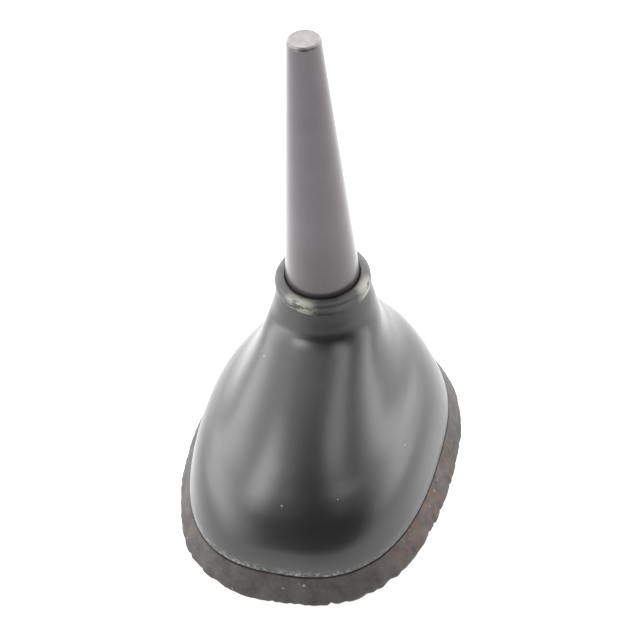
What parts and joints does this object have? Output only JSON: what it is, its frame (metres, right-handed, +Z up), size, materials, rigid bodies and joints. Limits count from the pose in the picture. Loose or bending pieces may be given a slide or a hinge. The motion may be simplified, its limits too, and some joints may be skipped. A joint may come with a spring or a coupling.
{
  "type": "roof aerial",
  "caption": "Vehicle roof aerial: drop-shaped moulded cover on a flared rubber gasket, short tapered screw-on mast, and a hollow threaded stud below that clamps it to a roof.",
  "frame": {"origin": "on the mounting stud's axis, in the plane of the gasket's underside, which is the roof's outer skin", "axes": "+Z up out of the roof, along the stud and the mast; -Y towards the long, blunt end of the cover; X across it"},
  "size_m": [0.0616, 0.0831, 0.1296],
  "materials": {
    "moulded_cover": "satin dark grey moulding, softly worn",
    "neck_rubber": "dull dark rubber with grey-green scuffs",
    "gasket_rubber": "dull weathered rubber, brown in places",
    "mast_coating": "semi-gloss dark grey coating",
    "tip_metal": "fine turned face",
    "brass": "turned",
    "steel": "zinc plated",
    "tinned_steel": "tinned sheet",
    "die_cast": "die cast",
    "copper_wire": "bare wire",
    "white_plastic": "natural insulator",
    "board_laminate": "solder mask",
    "glass_fibre": "pultruded rod"
  },
  "bodies": {
    "base": {"housing_shell": "moulded_cover", "neck_collar": "neck_rubber", "base_gasket": "gasket_rubber", "base_plate": "die_cast", "mounting_stud": "steel", "cable_gland": "gasket_rubber", "housing_screw_1": "steel", "housing_screw_2": "steel", "housing_screw_3": "steel", "housing_screw_4": "steel", "circuit_board": "board_laminate", "board_screw_1": "steel", "board_screw_2": "steel", "board_screw_3": "steel", "contact_pad": "brass", "shield_can": "tinned_steel", "tuning_coil": "copper_wire", "coax_terminal": "brass", "socket_bush": "brass", "insulator_bush": "white_plastic", "inner_seal": "neck_rubber"},
    "mast_carriage": {"mast_seal_ring": "neck_rubber"},
    "mast": {"mast_sleeve": "mast_coating", "mast_tip": "tip_metal", "mast_core": "glass_fibre", "mast_ferrule": "brass", "mast_winding": "copper_wire"},
    "washer_carriage": {"claw_washer": "steel"},
    "nut": {"clamp_nut": "steel"},
    "contact": {"contact_pin": "brass", "contact_spring": "steel"}
  },
  "joints": [
    {"name": "mast_lift", "type": "slide", "parent": "base", "child": "mast_carriage", "axis": [0, 0, 1], "range_m": [0, 0.008]},
    {"name": "mast_turn", "type": "hinge", "parent": "mast_carriage", "child": "mast", "pos_m": [0, 0.01, 0.0461], "axis": [0, 0, 1], "range_deg": [0, 2880]},
    {"name": "nut_drop", "type": "slide", "parent": "base", "child": "washer_carriage", "axis": [0, 0, -1], "range_m": [0, 0.0112]},
    {"name": "nut_turn", "type": "hinge", "parent": "washer_carriage", "child": "nut", "pos_m": [0, 0, -0.0071], "axis": [0, 0, -1], "range_deg": [0, 4032]},
    {"name": "contact_press", "type": "slide", "parent": "base", "child": "contact", "axis": [0, 0, 1], "range_m": [0, 0.0012], "stiffness_N_per_m": 400, "springref_m": -0.002, "deforming": ["contact_spring"]}
  ],
  "couplings": [
    {"joint": "mast_turn", "follows": "mast_lift", "rad_per_m": 6283.2},
    {"joint": "nut_turn", "follows": "nut_drop", "rad_per_m": 6283.2}
  ]
}
